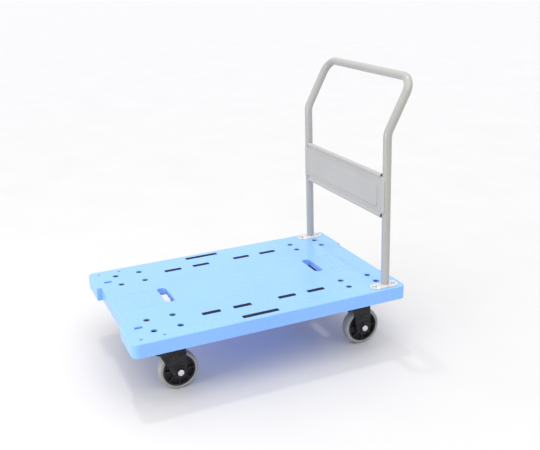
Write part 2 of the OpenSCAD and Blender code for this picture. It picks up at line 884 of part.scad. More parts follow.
module tyre() {
  shoulder = 6;
  color(tyre_grey) on_axle(0) rotate_extrude($fn = 96) difference() {
    union() {
      translate([wheel_r - tyre_t, -wheel_w / 2 + 1]) square([tyre_t / 2, wheel_w - 2]);
      translate([wheel_r - tyre_t / 2 - shoulder, -wheel_w / 2]) square([tyre_t / 2, wheel_w]);
      translate([wheel_r - 2 * shoulder, 0]) rounded_tread(shoulder);
    }
    translate([0, -wheel_w]) square([wheel_r - tyre_t, 2 * wheel_w]);
  }
}

module rounded_tread(r) {
  translate([r, 0]) rounded(2 * r, wheel_w, r - 0.5);
}

deck();
short_grip_strips();
long_grip_strips();
handle_tube();
handle_flange(-1);  // left_handle_flange
handle_flange(1);  // right_handle_flange
sign_panel();
handle_bolts();
handle_washers();
handle_nuts();
caster_bolts();
caster_washers();
caster_nuts();

at_front_left() swivel_top_plate();  // front_left_top_plate
at_front_left() swivel_balls();  // front_left_swivel_balls
at_front_left() kingpin();  // front_left_kingpin
at_front_left() swivel_fork();  // front_left_fork
at_front_left_axle() axle_bolt();  // front_left_axle_bolt
at_front_left_axle() axle_washers();  // front_left_axle_washers
at_front_left_axle() axle_nut();  // front_left_axle_nut
at_front_left_axle() axle_sleeve();  // front_left_axle_sleeve
at_front_left_axle() wheel_core();  // front_left_wheel_core
at_front_left_axle() tyre();  // front_left_tyre
at_front_left_axle() bearings();  // front_left_bearings

at_front_right() swivel_top_plate();  // front_right_top_plate
at_front_right() swivel_balls();  // front_right_swivel_balls
at_front_right() kingpin();  // front_right_kingpin
at_front_right() swivel_fork();  // front_right_fork
at_front_right_axle() axle_bolt();  // front_right_axle_bolt
at_front_right_axle() axle_washers();  // front_right_axle_washers
at_front_right_axle() axle_nut();  // front_right_axle_nut
at_front_right_axle() axle_sleeve();  // front_right_axle_sleeve
at_front_right_axle() wheel_core();  // front_right_wheel_core
at_front_right_axle() tyre();  // front_right_tyre
at_front_right_axle() bearings();  // front_right_bearings

at_rear_left() rigid_fork();  // rear_left_fork
at_rear_left_axle() axle_bolt();  // rear_left_axle_bolt
at_rear_left_axle() axle_washers();  // rear_left_axle_washers
at_rear_left_axle() axle_nut();  // rear_left_axle_nut
at_rear_left_axle() axle_sleeve();  // rear_left_axle_sleeve
at_rear_left_axle() wheel_core();  // rear_left_wheel_core
at_rear_left_axle() tyre();  // rear_left_tyre
at_rear_left_axle() bearings();  // rear_left_bearings

at_rear_right() rigid_fork();  // rear_right_fork
at_rear_right_axle() axle_bolt();  // rear_right_axle_bolt
at_rear_right_axle() axle_washers();  // rear_right_axle_washers
at_rear_right_axle() axle_nut();  // rear_right_axle_nut
at_rear_right_axle() axle_sleeve();  // rear_right_axle_sleeve
at_rear_right_axle() wheel_core();  // rear_right_wheel_core
at_rear_right_axle() tyre();  // rear_right_tyre
at_rear_right_axle() bearings();  // rear_right_bearings
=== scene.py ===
"""Flatbed platform truck: smooth pieces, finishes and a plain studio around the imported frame.

Laid out as an add-on: each group of pieces is an operator, and the sizes and colours that a maker would
change are properties. Lengths are in metres, in the frame's own axes: +X to the handle, +Z up.
"""

import json
import math

import bmesh
import bpy
import numpy as np
from bpy.props import FloatProperty, FloatVectorProperty, IntProperty, PointerProperty
from mathutils import Matrix, Vector


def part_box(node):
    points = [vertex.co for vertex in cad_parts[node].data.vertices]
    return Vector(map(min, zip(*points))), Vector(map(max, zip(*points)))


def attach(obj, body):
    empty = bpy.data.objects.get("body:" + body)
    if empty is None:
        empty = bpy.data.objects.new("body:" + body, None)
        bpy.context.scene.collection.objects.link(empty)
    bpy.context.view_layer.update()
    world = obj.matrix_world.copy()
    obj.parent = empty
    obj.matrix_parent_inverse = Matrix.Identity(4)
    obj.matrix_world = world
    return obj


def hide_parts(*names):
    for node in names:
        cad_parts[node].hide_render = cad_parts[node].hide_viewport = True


bl_info = {
    "name": "Flatbed platform truck",
    "version": (1, 0, 0),
    "blender": (4, 5, 0),
    "location": "View3D > Sidebar > Platform truck",
    "description": "Smooth pieces, finishes and a plain studio for a flatbed platform truck",
    "category": "Object",
}

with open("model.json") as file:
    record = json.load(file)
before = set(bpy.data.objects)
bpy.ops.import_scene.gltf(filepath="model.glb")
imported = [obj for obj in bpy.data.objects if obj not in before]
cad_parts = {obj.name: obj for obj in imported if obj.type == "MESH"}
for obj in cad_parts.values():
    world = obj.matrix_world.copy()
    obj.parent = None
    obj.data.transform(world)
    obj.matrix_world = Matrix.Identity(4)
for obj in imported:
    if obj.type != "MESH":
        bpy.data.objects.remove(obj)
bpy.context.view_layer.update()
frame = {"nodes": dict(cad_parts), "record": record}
CORNERS = ("front_left", "front_right", "rear_left", "rear_right")
MM = 0.001
FLANGE_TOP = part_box("left_handle_flange")[1][2]


def length(name, description, default):
    """A length property in metres."""
    return FloatProperty(name=name, description=description, default=default, unit="LENGTH", precision=5)


def colour(name, description, default):
    """A linear colour property."""
    return FloatVectorProperty(
        name=name, description=description, default=default, subtype="COLOR", size=3, min=0, max=1
    )


# ---------------------------------------------------------------------------------------------- sizes


class TruckHandleSizes(bpy.types.PropertyGroup):
    """Sizes of the bent handle and the welds at its feet."""

    tube_radius: length("Tube radius", "Outer radius of the handle tube", 13.6 * MM)
    lean: FloatProperty(
        name="Lean", description="Angle that the top leans back", default=math.radians(28), subtype="ANGLE"
    )
    bend_radius: length("Bend radius", "Radius of the bend in each post", 60 * MM)
    corner_radius: length("Corner radius", "Radius of the corners of the hand bar", 50 * MM)
    weld_radius: length("Weld radius", "Half thickness of the weld round a post's foot", 2.1 * MM)


class TruckPanelSizes(bpy.types.PropertyGroup):
    """Sizes of the pressed sign panel."""

    sheet: length("Sheet", "Thickness of the sheet", 1.5 * MM)
    bead_radius: length("Bead radius", "Outer radius of the rolled edges", 7 * MM)
    ahead: length("Ahead", "Distance of the sheet ahead of the middle of the posts", 10 * MM)
    bead_ahead: length("Bead ahead", "Distance of the rolled edges ahead of the posts' middle", 8.4 * MM)
    bead_gap: length("Bead gap", "Distance between a post and the end of a rolled edge", 0.9 * MM)
    tab_wrap: FloatProperty(
        name="Tab wrap", description="Angle that a tab wraps a post", default=math.radians(30), subtype="ANGLE"
    )
    tab_gap: length("Tab gap", "Distance between a rolled edge and a tab", 3 * MM)
    relief: length("Relief", "Height of the raised field", 3 * MM)
    slope: length("Slope", "Width of the slope round the raised field", 2.8 * MM)
    field_side: length("Field side", "Distance from the middle of a post to the raised field", 38 * MM)
    field_low: length("Field low", "Distance from the lower edge to the raised field", 29 * MM)
    field_high: length("Field high", "Distance from the upper edge to the raised field", 33 * MM)
    field_corner: length("Field corner", "Radius of the raised field's corners", 11 * MM)


class TruckWheelSizes(bpy.types.PropertyGroup):
    """Sizes of the moulded tyres."""

    thickness: length("Thickness", "Thickness of a tyre", 11 * MM)
    groove: length("Groove", "Depth of the ring on a tyre's side", 0.5 * MM)
    segments: IntProperty(name="Segments", description="Steps round a tyre", default=144, min=48, max=256)


class TruckStripSizes(bpy.types.PropertyGroup):
    """Sizes of the ribbed grip strips."""

    rib_step: length("Rib step", "Distance between two ribs", 6 * MM)
    rib_depth: length("Rib depth", "Depth of the valleys between the ribs", 1.3 * MM)
    end_radius: length("End radius", "Radius of a strip's ends in plan", 3 * MM)


class TruckFastenerSizes(bpy.types.PropertyGroup):
    """Sizes of the handle's M8 and the axles' M12 bolts and nuts that the frame's boxes don't give."""

    handle_flats: length("Handle flats", "Width across the flats of the handle's bolts and nuts", 13 * MM)
    handle_head: length("Handle head", "Height of a handle bolt's head", 5.3 * MM)
    handle_shank: length("Handle shank", "Radius of a handle bolt's shank", 4 * MM)
    axle_head: length("Axle head", "Height of an axle bolt's head", 7.44 * MM)
    axle_shank: length("Axle shank", "Radius of an axle bolt's shank", 6 * MM)
    bore_gap: length("Bore gap", "Distance between a shank and its nut's bore", 0.05 * MM)


class TruckColours(bpy.types.PropertyGroup):
    """Colours of the finishes."""

    platform: colour("Platform", "Moulded resin of the platform", (0.205, 0.405, 0.88))
    grip: colour("Grip", "Rubber of the grip strips", (0.008, 0.011, 0.016))
    handle: colour("Handle", "Paint of the handle and its flanges", (0.335, 0.333, 0.298))
    panel: colour("Panel", "Paint of the sign panel", (0.375, 0.367, 0.325))
    fork: colour("Fork", "Black resin of the forks", (0.012, 0.012, 0.013))
    core: colour("Core", "Black resin of the wheel cores", (0.012, 0.012, 0.013))
    tyre: colour("Tyre", "Grey rubber of the tyres", (0.285, 0.285, 0.265))
    zinc: colour("Zinc", "Bright zinc plate", (0.80, 0.81, 0.82))
    black_steel: colour("Black steel", "Black oxide on steel", (0.008, 0.008, 0.009))
    bearing: colour("Bearing", "Ground steel of the bearings", (0.62, 0.62, 0.63))
    floor: colour("Floor", "Pale studio floor", (0.56, 0.555, 0.55))
    shade: colour("Shade", "Light that fills the shadows", (0.50, 0.56, 1.0))


class TruckStudio(bpy.types.PropertyGroup):
    """Camera of the studio."""

    place: FloatVectorProperty(
        name="Place", description="Camera position", default=(-0.9018, -2.2773, 1.2539), subtype="XYZ", size=3
    )
    azimuth: FloatProperty(
        name="Azimuth", description="Turn about Z", default=math.radians(-23.55), subtype="ANGLE"
    )
    elevation: FloatProperty(
        name="Elevation", description="Angle that it looks down", default=math.radians(18.98), subtype="ANGLE"
    )
    roll: FloatProperty(
        name="Roll", description="Turn about its own view", default=math.radians(-1.914), subtype="ANGLE"
    )
    lens: FloatProperty(
        name="Lens", description="Focal length in millimetres", default=52.49, min=10, max=200
    )


# --------------------------------------------------------------------------------------------- meshes


def grid_faces(rows, cols, wrap_rows, wrap_cols, first):
    """Quads between neighbouring samples of a grid; a wrapped direction joins its last to its first."""
    i, j = np.meshgrid(
        np.arange(rows - (not wrap_rows)), np.arange(cols - (not wrap_cols)), indexing="ij"
    )
    i_next, j_next = (i + 1) % rows, (j + 1) % cols
    quads = np.stack([i * cols + j, i * cols + j_next, i_next * cols + j_next, i_next * cols + j], axis=-1)
    return quads.reshape(-1, 4) + first


def make_mesh(name, grids, sharp, closed):
    """One mesh of several grids of points, each (points, wrap_rows, wrap_cols).

    Points that coincide are merged, which closes poles and seams, and a closed shell is turned to face out.
    """
    starts = np.cumsum([0] + [g[0].shape[0] * g[0].shape[1] for g in grids])
    points = np.concatenate([g[0].reshape(-1, 3) for g in grids])
    quads = np.concatenate(
        [grid_faces(*g[0].shape[:2], g[1], g[2], first) for g, first in zip(grids, starts)]
    )
    mesh = bpy.data.meshes.new(name)
    mesh.vertices.add(len(points))
    mesh.vertices.foreach_set("co", points.astype(np.float32).ravel())
    mesh.loops.add(quads.size)
    mesh.loops.foreach_set("vertex_index", quads.astype(np.int32).ravel())
    mesh.polygons.add(len(quads))
    mesh.polygons.foreach_set("loop_start", np.arange(0, quads.size, 4, dtype=np.int32))
    mesh.update(calc_edges=True)
    shell = bmesh.new()
    shell.from_mesh(mesh)
    bmesh.ops.remove_doubles(shell, verts=shell.verts, dist=2e-6)
    if closed:
        bmesh.ops.recalc_face_normals(shell, faces=shell.faces)
    shell.to_mesh(mesh)
    shell.free()
    mesh.polygons.foreach_set("use_smooth", np.ones(len(mesh.polygons), bool))
    mesh.set_sharp_from_angle(angle=sharp)
    return mesh


def add_piece(name, grids, body, slot, replaced=(), sharp_deg=38, closed=True):
    """A new piece that rides on a body, takes a slot's finish and stands for the CAD nodes it replaces."""
    piece = bpy.data.objects.new(name, make_mesh(name, grids, math.radians(sharp_deg), closed))
    bpy.context.scene.collection.objects.link(piece)
    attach(piece, body)
    if replaced:
        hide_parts(*replaced)
    piece.data.materials.append(finish(slot))
    return piece


def smooth_step(t):
    """0 below 0, 1 above 1, and 3t^2 - 2t^3 between."""
    t = np.clip(t, 0, 1)
    return t * t * (3 - 2 * t)


def dense_samples(low, high, coarse, edges, reach, fine):
    """Samples from low to high, coarse apart, and fine apart within reach of each edge."""
    parts = [np.linspace(low, high, 1 + math.ceil((high - low) / coarse))]
    for edge in edges:
        start, end = max(low, edge - reach), min(high, edge + reach)
        parts.append(np.linspace(start, end, 1 + math.ceil((end - start) / fine)))
    samples = np.sort(np.concatenate(parts))
    return samples[np.concatenate([[True], np.diff(samples) > fine / 4])]


def centre_of(node):
    """Middle of a CAD node's box."""
    low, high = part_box(node)
    return (np.array(low) + np.array(high)) / 2


def size_of(node):
    """Size of a CAD node's box."""
    low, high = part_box(node)
    return np.array(high) - np.array(low)


# -------------------------------------------------------------------------------------------- finishes


class Finish:
    """A procedural finish on a Principled shader, whose patterns lie in the frame's own coordinates."""

    def __init__(self, name):
        self.material = bpy.data.materials.new(name)
        self.material.use_nodes = True
        self.tree = self.material.node_tree
        self.tree.nodes.clear()
        self.shader = self.tree.nodes.new("ShaderNodeBsdfPrincipled")
        output = self.tree.nodes.new("ShaderNodeOutputMaterial")
        self.tree.links.new(self.shader.outputs[0], output.inputs["Surface"])
        self.coords = self.tree.nodes.new("ShaderNodeTexCoord").outputs["Object"]

    def set(self, **values):
        """Sets shader sockets that are the same all over, such as metallic=1."""
        for key, value in values.items():
            self.shader.inputs[key.replace("_", " ").title().replace("Ior", "IOR")].default_value = value
        return self

    def noise(self, scale, detail=3.0, stretch=(1, 1, 1), distortion=0.0, turn=0.0):
        """Noise from 0 to 1, with scale features to a metre along an axis whose stretch is 1."""
        mapping = self.tree.nodes.new("ShaderNodeMapping")
        mapping.inputs["Scale"].default_value = stretch
        mapping.inputs["Rotation"].default_value = (0, 0, turn)
        texture = self.tree.nodes.new("ShaderNodeTexNoise")
        texture.inputs["Scale"].default_value = scale
        texture.inputs["Detail"].default_value = detail
        texture.inputs["Distortion"].default_value = distortion
        self.tree.links.new(self.coords, mapping.inputs["Vector"])
        self.tree.links.new(mapping.outputs[0], texture.inputs["Vector"])
        return texture.outputs["Fac"]

    def cells(self, scale):
        """Distance to the nearest point of a random scatter, with scale points to a metre."""
        texture = self.tree.nodes.new("ShaderNodeTexVoronoi")
        texture.inputs["Scale"].default_value = scale
        self.tree.links.new(self.coords, texture.inputs["Vector"])
        return texture.outputs["Distance"]

    def remap(self, value, low, high, to_low, to_high):
        """Value moved from the range low to high into the range to_low to to_high, and held there."""
        node = self.tree.nodes.new("ShaderNodeMapRange")
        for key, number in zip(("From Min", "From Max", "To Min", "To Max"), (low, high, to_low, to_high)):
            node.inputs[key].default_value = number
        self.tree.links.new(value, node.inputs["Value"])
        return node.outputs["Result"]

    def maths(self, operation, a, b):
        """a and b, sockets or numbers, joined by a maths operation."""
        node = self.tree.nodes.new("ShaderNodeMath")
        node.operation = operation
        for socket, value in zip(node.inputs, (a, b)):
            if isinstance(value, (int, float)):
                socket.default_value = value
            else:
                self.tree.links.new(value, socket)
        return node.outputs[0]

    def mix(self, share, a, b):
        """Colour a where share is 0 and colour b where it is 1; each is a socket or three numbers."""
        node = self.tree.nodes.new("ShaderNodeMix")
        node.data_type = "RGBA"
        self.tree.links.new(share, node.inputs["Factor"])
        for socket, value in ((node.inputs[6], a), (node.inputs[7], b)):
            if isinstance(value, bpy.types.NodeSocket):
                self.tree.links.new(value, socket)
            else:
                socket.default_value = (*value, 1)
        return node.outputs[2]

    def edges(self, radius):
        """1 on edges sharper than radius and 0 on flats: how far a rounded normal turns from the real one."""
        bevel = self.tree.nodes.new("ShaderNodeBevel")
        bevel.samples = 4
        bevel.inputs["Radius"].default_value = radius
        geometry = self.tree.nodes.new("ShaderNodeNewGeometry")
        dot = self.tree.nodes.new("ShaderNodeVectorMath")
        dot.operation = "DOT_PRODUCT"
        self.tree.links.new(bevel.outputs[0], dot.inputs[0])
        self.tree.links.new(geometry.outputs["Normal"], dot.inputs[1])
        return self.remap(dot.outputs["Value"], 0.99, 0.86, 0, 1)

    def bump(self, *layers):
        """Bumps the surface by layers of (height, depth in metres), one on another."""
        normal = None
        for height, depth in layers:
            node = self.tree.nodes.new("ShaderNodeBump")
            node.inputs["Strength"].default_value = 1.0
            node.inputs["Distance"].default_value = depth
            self.tree.links.new(height, node.inputs["Height"])
            if normal is not None:
                self.tree.links.new(normal, node.inputs["Normal"])
            normal = node.outputs[0]
        self.tree.links.new(normal, self.shader.inputs["Normal"])
        return self

    def roughness(self, value):
        """Takes the shader's roughness from a socket."""
        self.tree.links.new(value, self.shader.inputs["Roughness"])
        return self

    def colour(self, value):
        """Takes the shader's base colour from a socket."""
        self.tree.links.new(value, self.shader.inputs["Base Color"])
        return self


def tone(base, share):
    """A colour made lighter or darker by a share, held between 0 and 1."""
    return tuple(min(1.0, max(0.0, c * share)) for c in base)


def lighten(base, share):
    """A colour moved a share of the way to white."""
    return tuple(c + (1 - c) * share for c in base)


def platform_resin(colours):
    """Satin moulded resin: slow tone changes, fine spark grain, faint rubs and paler edges."""
    f = Finish("platform_resin_finish").set(ior=1.46, specular_ior_level=0.42)
    base = tuple(colours.platform)
    flow = f.mix(f.remap(f.noise(2.6, 2), 0.35, 0.65, 0, 1), tone(base, 0.965), tone(base, 1.02))
    rubs = f.remap(f.noise(9, 5, stretch=(1.2, 22, 1), distortion=0.6, turn=0.35), 0.68, 0.80, 0, 0.05)
    worn = f.mix(rubs, flow, lighten(base, 0.35))
    edge = f.maths("MULTIPLY", f.edges(1.4 * MM), f.remap(f.noise(60, 4), 0.42, 0.62, 0.10, 0.42))
    f.colour(f.mix(edge, worn, lighten(base, 0.45)))
    f.roughness(f.maths("ADD", f.remap(f.noise(14, 4), 0.3, 0.7, 0.24, 0.34), f.maths("MULTIPLY", rubs, 0.5)))
    return f.bump((f.noise(24, 2), 0.000015), (f.noise(1500, 2), 0.000003))


def grip_rubber(colours):
    """Matt black rubber with a fine grain and a little pale dust in its low places."""
    f = Finish("grip_rubber_finish").set(specular_ior_level=0.12)
    base = tuple(colours.grip)
    dust = f.remap(f.noise(240, 5), 0.52, 0.75, 0, 0.12)
    f.colour(f.mix(dust, base, (0.16, 0.17, 0.18)))
    f.roughness(f.remap(f.noise(90, 3), 0.3, 0.7, 0.50, 0.68))
    return f.bump((f.noise(2200, 2), 0.00004))


def sprayed_paint(name, base, level):
    """Satin sprayed paint: orange peel, a slow change of tone, a few rubbed spots and worn edges."""
    f = Finish(name).set(coat_weight=0.5, coat_roughness=0.16, specular_ior_level=0.5)
    flow = f.mix(f.remap(f.noise(5, 3), 0.3, 0.7, 0, 1), tone(base, 0.95), tone(base, 1.03))
    rub = f.remap(f.noise(70, 6, distortion=0.4), 0.66, 0.76, 0, 0.30)
    edge = f.maths("MULTIPLY", f.edges(0.9 * MM), f.remap(f.noise(120, 4), 0.45, 0.62, 0, 0.45))
    f.colour(f.mix(f.maths("MAXIMUM", rub, edge), flow, lighten(base, 0.22)))
    f.roughness(f.remap(f.noise(26, 4), 0.3, 0.7, level - 0.05, level + 0.07))
    return f.bump((f.noise(420, 2), 0.00003), (f.noise(60, 2), 0.00005))


def handle_paint(colours):
    """Warm grey paint of the handle, with a painted highlight on the flanges: paler there for the light that
    falls on their tops.
    """
    f = sprayed_paint("handle_paint_finish", tuple(colours.handle), 0.36)
    painted = f.shader.inputs["Base Color"].links[0].from_socket
    height = f.tree.nodes.new("ShaderNodeSeparateXYZ")
    f.tree.links.new(f.coords, height.inputs[0])
    # Painted highlight: below just above the flanges' tops the paint is mixed 45 % towards pale grey, standing
    # for the light on the flanges.
    low = f.remap(height.outputs["Z"], FLANGE_TOP + 0.1 * MM, FLANGE_TOP + 0.6 * MM, 0.45, 0)
    return f.colour(f.mix(low, painted, (0.80, 0.80, 0.76)))


def panel_paint(colours):
    """Light grey paint of the sign panel."""
    return sprayed_paint("panel_paint_finish", tuple(colours.panel), 0.38)


def black_resin(name, base, level):
    """Glass-filled black resin: dull grain, faint flow marks and greyed edges."""
    f = Finish(name).set(specular_ior_level=0.22)
    flow = f.mix(f.remap(f.noise(40, 4, stretch=(1, 1, 3)), 0.4, 0.7, 0, 1), base, lighten(base, 0.02))
    edge = f.maths("MULTIPLY", f.edges(0.8 * MM), f.remap(f.noise(150, 4), 0.4, 0.6, 0.15, 0.6))
    f.colour(f.mix(edge, flow, lighten(base, 0.10)))
    f.roughness(f.remap(f.noise(80, 4), 0.3, 0.7, level - 0.06, level + 0.10))
    return f.bump((f.noise(1300, 3), 0.00005), (f.noise(120, 2), 0.00006))


def fork_resin(colours):
    """Black reinforced resin of the forks."""
    return black_resin("fork_resin_finish", tuple(colours.fork), 0.46)


def wheel_resin(colours):
    """Black moulded resin of the wheel cores."""
    return black_resin("wheel_resin_finish", tuple(colours.core), 0.38)


def tyre_rubber(colours):
    """Grey non-marking rubber: mottled, a little dusty, with fine moulding grain."""
    f = Finish("tyre_rubber_finish").set(specular_ior_level=0.35)
    base = tuple(colours.tyre)
    mottle = f.mix(f.remap(f.noise(45, 5), 0.35, 0.68, 0, 1), tone(base, 0.90), tone(base, 1.06))
    specks = f.remap(f.noise(420, 4), 0.66, 0.78, 0, 0.45)
    f.colour(f.mix(specks, mottle, tone(base, 0.55)))
    f.roughness(f.remap(f.noise(120, 3), 0.3, 0.7, 0.52, 0.70))
    return f.bump((f.noise(900, 3), 0.00006), (f.noise(70, 2), 0.00008))


def zinc_steel(colours):
    """Bright zinc plate: cloudy passivation and fine crystal grain."""
    f = Finish("zinc_steel_finish").set(metallic=1.0)
    base = tuple(colours.zinc)
    cloud = f.remap(f.noise(160, 4), 0.35, 0.65, 0, 1)
    f.colour(f.mix(cloud, tone(base, 0.82), base))
    f.roughness(f.remap(f.noise(300, 4), 0.3, 0.7, 0.20, 0.38))
    return f.bump((f.cells(1400), 0.00002))


def black_steel(colours):
    """Black oxide on steel: dull, with brighter rubbed edges."""
    f = Finish("black_steel_finish").set(metallic=0.2, specular_ior_level=0.18)
    base = tuple(colours.black_steel)
    edge = f.maths("MULTIPLY", f.edges(0.5 * MM), f.remap(f.noise(300, 3), 0.4, 0.6, 0.2, 0.8))
    f.colour(f.mix(edge, base, (0.10, 0.10, 0.105)))
    f.roughness(f.remap(f.noise(260, 4), 0.3, 0.7, 0.38, 0.55))
    return f.bump((f.noise(900, 3), 0.00003))


def bearing_steel(colours):
    """Ground bearing steel, with fine rings left by the wheel and a film of oil."""
    f = Finish("bearing_steel_finish").set(metallic=1.0, coat_weight=0.3, coat_roughness=0.15)
    base = tuple(colours.bearing)
    f.colour(f.mix(f.remap(f.noise(220, 3), 0.3, 0.7, 0, 1), tone(base, 0.88), base))
    f.roughness(f.remap(f.noise(900, 2, stretch=(1, 8, 1)), 0.3, 0.7, 0.16, 0.28))
    return f.bump((f.noise(1800, 2, stretch=(1, 6, 1)), 0.00001))


FINISHES = {
    "platform_resin": platform_resin,
    "grip_rubber": grip_rubber,
    "handle_paint": handle_paint,
    "panel_paint": panel_paint,
    "fork_resin": fork_resin,
    "wheel_resin": wheel_resin,
    "tyre_rubber": tyre_rubber,
    "zinc_steel": zinc_steel,
    "black_steel": black_steel,
    "bearing_steel": bearing_steel,
}


def finish(slot):
    """The material of a slot, made the first time that it is asked for."""
    found = bpy.data.materials.get(slot + "_finish")
    return found or FINISHES[slot](bpy.context.scene.truck_colours).material


# ---------------------------------------------------------------------------------------------- handle


def handle_line(sizes):
    """Centre line of the bent handle: points, directions and inward directions, each (n, 3).

    A post rises from its flange, an arc of bend_radius turns it back by lean, an arc of corner_radius turns
    it across in the leaning plane, and the other half is the mirror image in Y.
    """
    low, high = (np.array(c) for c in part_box("handle_tube"))
    r, lean = sizes.tube_radius, sizes.lean
    post_x, post_y, bar_x, bar_z = low[0] + r, high[1] - r, high[0] - r, high[2] - r
    lean_len = (bar_x - post_x) / math.sin(lean)
    bend_z = bar_z - lean_len * math.cos(lean)
    bend_len = sizes.bend_radius * math.tan(lean / 2)
    up = np.array([math.sin(lean), 0, math.cos(lean)])
    across = np.array([0.0, 1.0, 0.0])

    z = np.linspace(low[2], bend_z - bend_len, 12)[:-1, None]
    post = np.array([post_x, -post_y, 0]) + z * [0, 0, 1]
    a = np.linspace(0, lean, 15)[:, None]
    bend = np.array([post_x, -post_y, bend_z - bend_len]) + sizes.bend_radius * np.hstack(
        [1 - np.cos(a), 0 * a, np.sin(a)]
    )
    c = np.linspace(0, math.pi / 2, 25)[:, None]
    along = lean_len - sizes.corner_radius * (1 - np.sin(c))
    corner = (
        np.array([post_x, -post_y, bend_z]) + along * up + sizes.corner_radius * (1 - np.cos(c)) * across
    )
    points = np.vstack([post, bend, corner])
    ahead = np.vstack(
        [
            np.tile([0, 0, 1.0], (len(post), 1)),
            np.hstack([np.sin(a), 0 * a, np.cos(a)]),
            np.cos(c) * up + np.sin(c) * across,
        ]
    )
    inward = np.vstack(
        [np.tile(across, (len(post) + len(bend), 1)), np.cos(c) * across - np.sin(c) * up]
    )
    flip = np.array([1, -1, 1])
    return (
        np.vstack([points, points[::-1] * flip]),
        np.vstack([ahead, -ahead[::-1] * flip]),
        np.vstack([inward, inward[::-1] * flip]),
    )


def swept_tube(points, ahead, side, radius, steps):
    """A round tube along a line: point + radius (cos a side + sin a (ahead x side)), closed at both ends."""
    a = np.linspace(0, 2 * math.pi, steps, endpoint=False)[None, :, None]
    ring = np.cos(a) * side[:, None] + np.sin(a) * np.cross(ahead, side)[:, None]
    wall = points[:, None] + radius * ring
    first, last = np.repeat(points[:1, None], steps, 1), np.repeat(points[-1:, None], steps, 1)
    return np.concatenate([first, wall, last])


def weld_ring(centre, radius, thickness, beads):
    """A torus round Z whose thickness swells beads times: thickness (1 + 0.14 |sin(beads a / 2)|)."""
    a = np.linspace(0, 2 * math.pi, 240, endpoint=False)[:, None]
    b = np.linspace(0, 2 * math.pi, 14, endpoint=False)[None, :]
    t = thickness * (0.86 + 0.14 * np.abs(np.sin(beads * a / 2)))
    r = radius + t * np.cos(b)
    return np.stack([r * np.cos(a), r * np.sin(a), t * np.sin(b) + 0 * a], axis=-1) + centre


class TRUCK_OT_handle(bpy.types.Operator):
    """Makes the bent handle tube and the weld round each foot"""

    bl_idname = "truck.handle"
    bl_label = "Handle"

    def execute(self, context):
        sizes = context.scene.truck_handle
        points, ahead, inward = handle_line(sizes)
        tube = swept_tube(points, ahead, inward, sizes.tube_radius, 48)
        add_piece("bent_handle_tube", [(tube, False, True)], "truck", "handle_paint", ["handle_tube"])
        for side, foot in (("left", points[0]), ("right", points[-1])):
            ring = weld_ring(
                foot + [0, 0, sizes.weld_radius * 0.7],
                sizes.tube_radius + sizes.weld_radius * 0.55,
                sizes.weld_radius,
                44,
            )
            add_piece(f"{side}_foot_weld", [(ring, True, True)], "truck", "handle_paint")
        return {"FINISHED"}


# ------------------------------------------------------------------------------------------ sign panel


def field_rise(y, z, sizes, half_y, low_z, high_z):
    """Height of the raised field: relief times a smooth step of the distance inside a rounded rectangle."""
    middle_z, half_z = (low_z + high_z) / 2, (high_z - low_z) / 2
    qy = np.abs(y) - half_y + sizes.field_corner
    qz = np.abs(z - middle_z) - half_z + sizes.field_corner
    outside = np.hypot(np.maximum(qy, 0), np.maximum(qz, 0))
    inside = sizes.field_corner - outside - np.minimum(np.maximum(qy, qz), 0)
    return sizes.relief * smooth_step(inside / sizes.slope)


def rolled_edge(sizes, bead_x, sheet_x, edge_z, up, flat_z):
    """Section of one rolled edge in X and Z, from its free end inside the roll to the flat sheet at flat_z.

    The roll is 313 degrees of a circle over the back, the edge and the front, and a quadratic curve eases it
    into the sheet. up is 1 for the upper edge and -1 for the lower.
    """
    r = sizes.bead_radius
    a = np.radians(np.linspace(150, -163, 40))
    roll = np.stack([bead_x + r * np.sin(a), edge_z - up * r * (1 - np.cos(a))], axis=-1)
    start, end = roll[-1], np.array([sheet_x, flat_z])
    corner = np.array([sheet_x, start[1] + (end[1] - start[1]) * 0.3])
    t = np.linspace(0, 1, 8)[1:-1, None]
    return np.vstack([roll, (1 - t) ** 2 * start + 2 * t * (1 - t) * corner + t**2 * end])


def panel_tab(sizes, post_x, post_y, side, inner, outer, z_flat, tube_radius):
    """A tab from the sheet round the front of a post, as X over the distance e inside the post's middle.

    X is post_x less the smooth maximum of ahead and sqrt(R^2 - e^2), where R is the tab's outer radius.
    """
    radius = tube_radius + sizes.sheet - 0.05 * MM
    e = np.linspace(inner, outer, 34)
    arc = np.sqrt(np.maximum(radius**2 - e**2, 0))
    blend = 1.2 * MM * smooth_step((inner - e) / (2 * MM))
    x = post_x - (sizes.ahead + arc + np.sqrt((sizes.ahead - arc) ** 2 + blend**2)) / 2
    y = side * (post_y - e)
    return np.stack(np.broadcast_arrays(x[None, :], y[None, :], z_flat[:, None]), axis=-1)


